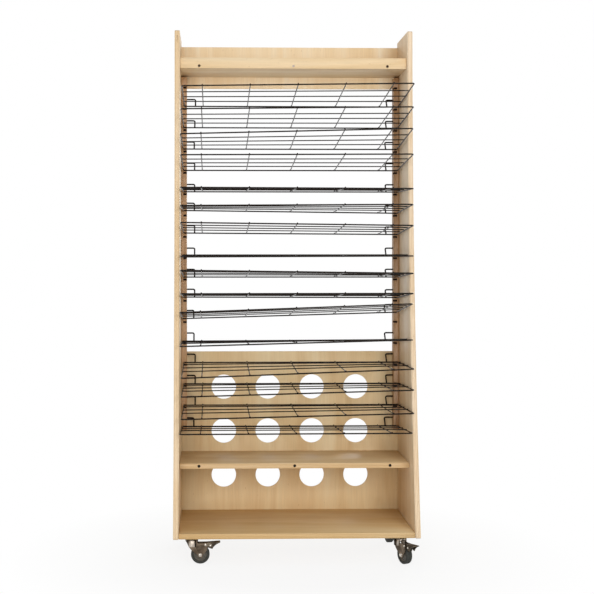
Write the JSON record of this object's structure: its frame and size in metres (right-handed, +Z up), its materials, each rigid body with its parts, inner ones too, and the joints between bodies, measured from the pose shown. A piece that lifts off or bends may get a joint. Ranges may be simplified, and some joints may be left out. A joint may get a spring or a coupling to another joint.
{
  "type": "art drying rack",
  "caption": "Tall mobile plywood drying rack on swivel casters, with hinged wire shelves, a top tray and fixed lower shelves for wet paintings.",
  "frame": {"origin": "middle of the whole part's footprint, on the floor", "axes": "+Z up, -Y towards the open front, +X to the viewer's right"},
  "size_m": [0.833, 0.446, 1.829],
  "materials": {
    "plywood": "clear satin lacquer on birch plywood",
    "hardwood": "clear satin lacquer on beech",
    "black_wire": "black powder coat",
    "zinc_steel": "zinc plate",
    "dark_steel": "dull zinc plate",
    "screw_steel": "black oxide",
    "grey_plastic": "moulded grey",
    "rubber": "dark grey rubber"
  },
  "bodies": {
    "cabinet": {"side_panel_left": "plywood", "side_panel_right": "plywood", "hanger_strip_left": "hardwood", "hanger_strip_right": "hardwood", "back_panel": "plywood", "middle_shelf": "plywood", "bottom_shelf": "plywood", "tray_board": "plywood", "tray_lip": "plywood", "tray_back_rail": "plywood", "tray_lip_screw_1": "screw_steel", "tray_lip_screw_2": "screw_steel", "tray_lip_screw_3": "screw_steel", "front_left_stem": "zinc_steel", "front_right_stem": "zinc_steel", "rear_left_stem": "zinc_steel", "rear_right_stem": "zinc_steel"},
    "shelf_01": {"wire_shelf_01": "black_wire"},
    "shelf_02": {"wire_shelf_02": "black_wire"},
    "shelf_03": {"wire_shelf_03": "black_wire"},
    "shelf_04": {"wire_shelf_04": "black_wire"},
    "shelf_05": {"wire_shelf_05": "black_wire"},
    "shelf_06": {"wire_shelf_06": "black_wire"},
    "shelf_07": {"wire_shelf_07": "black_wire"},
    "shelf_08": {"wire_shelf_08": "black_wire"},
    "shelf_09": {"wire_shelf_09": "black_wire"},
    "shelf_10": {"wire_shelf_10": "black_wire"},
    "shelf_11": {"wire_shelf_11": "black_wire"},
    "shelf_12": {"wire_shelf_12": "black_wire"},
    "shelf_13": {"wire_shelf_13": "black_wire"},
    "shelf_14": {"wire_shelf_14": "black_wire"},
    "shelf_15": {"wire_shelf_15": "black_wire"},
    "shelf_16": {"wire_shelf_16": "black_wire"},
    "front_left_swivel": {"front_left_fork": "zinc_steel", "front_left_axle_bolt": "zinc_steel", "front_left_pedal_pin": "zinc_steel"},
    "front_left_roller": {"front_left_wheel": "grey_plastic", "front_left_tyre": "rubber"},
    "front_left_brake": {"front_left_brake_pedal": "dark_steel"},
    "front_right_swivel": {"front_right_fork": "zinc_steel", "front_right_axle_bolt": "zinc_steel", "front_right_pedal_pin": "zinc_steel"},
    "front_right_roller": {"front_right_wheel": "grey_plastic", "front_right_tyre": "rubber"},
    "front_right_brake": {"front_right_brake_pedal": "dark_steel"},
    "rear_left_swivel": {"rear_left_fork": "zinc_steel", "rear_left_axle_bolt": "zinc_steel"},
    "rear_left_roller": {"rear_left_wheel": "grey_plastic", "rear_left_tyre": "rubber"},
    "rear_right_swivel": {"rear_right_fork": "zinc_steel", "rear_right_axle_bolt": "zinc_steel"},
    "rear_right_roller": {"rear_right_wheel": "grey_plastic", "rear_right_tyre": "rubber"}
  },
  "joints": [
    {"name": "shelf_01_lift", "type": "hinge", "parent": "cabinet", "child": "shelf_01", "pos_m": [0.00315, 0.19373, 1.614], "axis": [-1, 0, 0], "range_deg": [0, 24]},
    {"name": "shelf_02_lift", "type": "hinge", "parent": "cabinet", "child": "shelf_02", "pos_m": [0.0007, 0.19373, 1.5363], "axis": [-1, 0, 0], "range_deg": [0, 9.5]},
    {"name": "shelf_03_lift", "type": "hinge", "parent": "cabinet", "child": "shelf_03", "pos_m": [-0.0014, 0.19373, 1.4586], "axis": [-1, 0, 0], "range_deg": [0, 8.5]},
    {"name": "shelf_04_lift", "type": "hinge", "parent": "cabinet", "child": "shelf_04", "pos_m": [0, 0.19373, 1.3809], "axis": [-1, 0, 0], "range_deg": [0, 8.5]},
    {"name": "shelf_05_lift", "type": "hinge", "parent": "cabinet", "child": "shelf_05", "pos_m": [0, 0.19373, 1.3032], "axis": [-1, 0, 0], "range_deg": [0, 14]},
    {"name": "shelf_06_lift", "type": "hinge", "parent": "cabinet", "child": "shelf_06", "pos_m": [-0.00105, 0.19373, 1.23021], "axis": [-0.9999, 0, 0.012], "range_deg": [0, 5.5]},
    {"name": "shelf_07_lift", "type": "hinge", "parent": "cabinet", "child": "shelf_07", "pos_m": [0, 0.19373, 1.15026], "axis": [-1, 0, 0.0063], "range_deg": [0, 6.5]},
    {"name": "shelf_08_lift", "type": "hinge", "parent": "cabinet", "child": "shelf_08", "pos_m": [0, 0.19373, 1.0701], "axis": [-1, 0, 0], "range_deg": [0, 13]},
    {"name": "shelf_09_lift", "type": "hinge", "parent": "cabinet", "child": "shelf_09", "pos_m": [0, 0.19373, 0.9924], "axis": [-1, 0, 0], "range_deg": [0, 4.5]},
    {"name": "shelf_10_lift", "type": "hinge", "parent": "cabinet", "child": "shelf_10", "pos_m": [0, 0.19373, 0.91839], "axis": [-1, 0, 0.0031], "range_deg": [0, 8]},
    {"name": "shelf_11_lift", "type": "hinge", "parent": "cabinet", "child": "shelf_11", "pos_m": [-0.00315, 0.19373, 0.85237], "axis": [-0.9996, 0, -0.0287], "range_deg": [0, 3]},
    {"name": "shelf_12_lift", "type": "hinge", "parent": "cabinet", "child": "shelf_12", "pos_m": [-0.00245, 0.19373, 0.7593], "axis": [-1, 0, 0], "range_deg": [0, 14.5]},
    {"name": "shelf_13_lift", "type": "hinge", "parent": "cabinet", "child": "shelf_13", "pos_m": [0.00175, 0.19373, 0.6816], "axis": [-1, 0, 0], "range_deg": [0, 12.5]},
    {"name": "shelf_14_lift", "type": "hinge", "parent": "cabinet", "child": "shelf_14", "pos_m": [0.00175, 0.19373, 0.6039], "axis": [-1, 0, 0], "range_deg": [0, 7]},
    {"name": "shelf_15_lift", "type": "hinge", "parent": "cabinet", "child": "shelf_15", "pos_m": [0.00175, 0.19373, 0.5262], "axis": [-1, 0, 0], "range_deg": [0, 9]},
    {"name": "shelf_16_lift", "type": "hinge", "parent": "cabinet", "child": "shelf_16", "pos_m": [-0.00315, 0.19373, 0.4485], "axis": [-1, 0, 0], "range_deg": [0, 5]},
    {"name": "front_left_caster_turn", "type": "hinge", "parent": "cabinet", "child": "front_left_swivel", "pos_m": [-0.3535, -0.13197, 0.085], "axis": [0, 0, 1], "continuous": true},
    {"name": "front_left_wheel_roll", "type": "hinge", "parent": "front_left_swivel", "child": "front_left_roller", "pos_m": [-0.3255, -0.13197, 0.0315], "axis": [0, 1, 0], "continuous": true},
    {"name": "front_left_brake_press", "type": "hinge", "parent": "front_left_swivel", "child": "front_left_brake", "pos_m": [-0.308, -0.13197, 0.0654], "axis": [0, 1, 0], "range_deg": [0, 9]},
    {"name": "front_right_caster_turn", "type": "hinge", "parent": "cabinet", "child": "front_right_swivel", "pos_m": [0.3535, -0.13197, 0.085], "axis": [0, 0, 1], "continuous": true},
    {"name": "front_right_wheel_roll", "type": "hinge", "parent": "front_right_swivel", "child": "front_right_roller", "pos_m": [0.36577, -0.15714, 0.0315], "axis": [0.8988, 0.4384, 0], "continuous": true},
    {"name": "front_right_brake_press", "type": "hinge", "parent": "front_right_swivel", "child": "front_right_brake", "pos_m": [0.37345, -0.17287, 0.0654], "axis": [0.8988, 0.4384, 0], "range_deg": [0, 9]},
    {"name": "rear_left_caster_turn", "type": "hinge", "parent": "cabinet", "child": "rear_left_swivel", "pos_m": [-0.3535, 0.17703, 0.085], "axis": [0, 0, 1], "continuous": true},
    {"name": "rear_left_wheel_roll", "type": "hinge", "parent": "rear_left_swivel", "child": "rear_left_roller", "pos_m": [-0.36399, 0.15106, 0.0315], "axis": [0.9272, -0.3746, 0], "continuous": true},
    {"name": "rear_right_caster_turn", "type": "hinge", "parent": "cabinet", "child": "rear_right_swivel", "pos_m": [0.3535, 0.17703, 0.085], "axis": [0, 0, 1], "continuous": true},
    {"name": "rear_right_wheel_roll", "type": "hinge", "parent": "rear_right_swivel", "child": "rear_right_roller", "pos_m": [0.3574, 0.1493, 0.0315], "axis": [0.9903, 0.1392, 0], "continuous": true}
  ]
}
